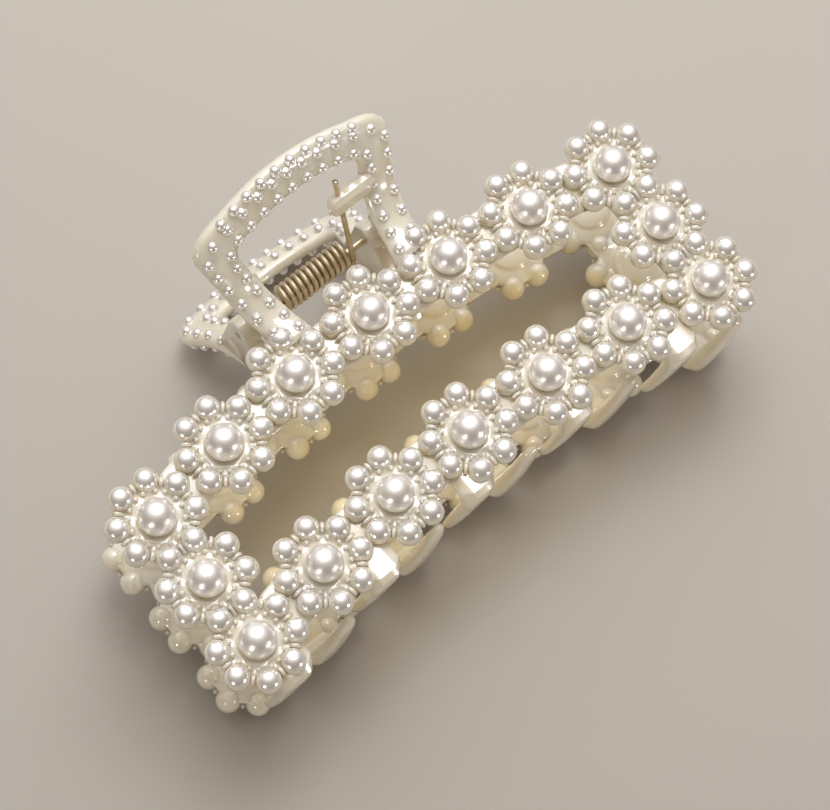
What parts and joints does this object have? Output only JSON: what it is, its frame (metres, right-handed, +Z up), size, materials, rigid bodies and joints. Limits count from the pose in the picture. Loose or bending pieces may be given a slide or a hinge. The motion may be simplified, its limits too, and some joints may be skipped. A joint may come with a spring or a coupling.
{
  "type": "claw clip",
  "caption": "Large square claw clip for hair: two pearl-flower frames on a sprung hinge, with interlocking teeth and two squeeze levers.",
  "frame": {"origin": "bottom centre of the closed clip's box, on the table that it lies on", "axes": "+X along the jaws and the hinge pin, +Y from the teeth towards the levers, +Z up from the table"},
  "size_m": [0.1056, 0.0686, 0.0536],
  "materials": {
    "jaw_plastic": "translucent cream, glossy, with small moulded pearls",
    "pearl_coat": "satin pearl lacquer",
    "spring_brass": "drawn wire"
  },
  "bodies": {
    "back_half": {"back_jaw": "jaw_plastic", "back_pearl_01": "pearl_coat", "back_pearl_02": "pearl_coat", "back_pearl_03": "pearl_coat", "back_pearl_04": "pearl_coat", "back_pearl_05": "pearl_coat", "back_pearl_06": "pearl_coat", "back_pearl_07": "pearl_coat", "back_pearl_08": "pearl_coat", "back_pearl_09": "pearl_coat", "back_pearl_10": "pearl_coat", "back_pearl_11": "pearl_coat", "back_pearl_12": "pearl_coat", "back_pearl_13": "pearl_coat", "back_pearl_14": "pearl_coat", "back_pearl_15": "pearl_coat", "back_pearl_16": "pearl_coat", "hinge_pin": "spring_brass", "torsion_spring": "spring_brass"},
    "front_half": {"front_jaw": "jaw_plastic", "front_pearl_01": "pearl_coat", "front_pearl_02": "pearl_coat", "front_pearl_03": "pearl_coat", "front_pearl_04": "pearl_coat", "front_pearl_05": "pearl_coat", "front_pearl_06": "pearl_coat", "front_pearl_07": "pearl_coat", "front_pearl_08": "pearl_coat", "front_pearl_09": "pearl_coat", "front_pearl_10": "pearl_coat", "front_pearl_11": "pearl_coat", "front_pearl_12": "pearl_coat", "front_pearl_13": "pearl_coat", "front_pearl_14": "pearl_coat", "front_pearl_15": "pearl_coat", "front_pearl_16": "pearl_coat"}
  },
  "joints": [
    {"name": "jaw_hinge", "type": "hinge", "parent": "back_half", "child": "front_half", "pos_m": [0, 0.01523, 0.02438], "axis": [-1, 0, 0], "range_deg": [0, 80], "stiffness_Nm_per_rad": 0.18, "springref_deg": -31.51, "deforming": ["torsion_spring"]}
  ]
}
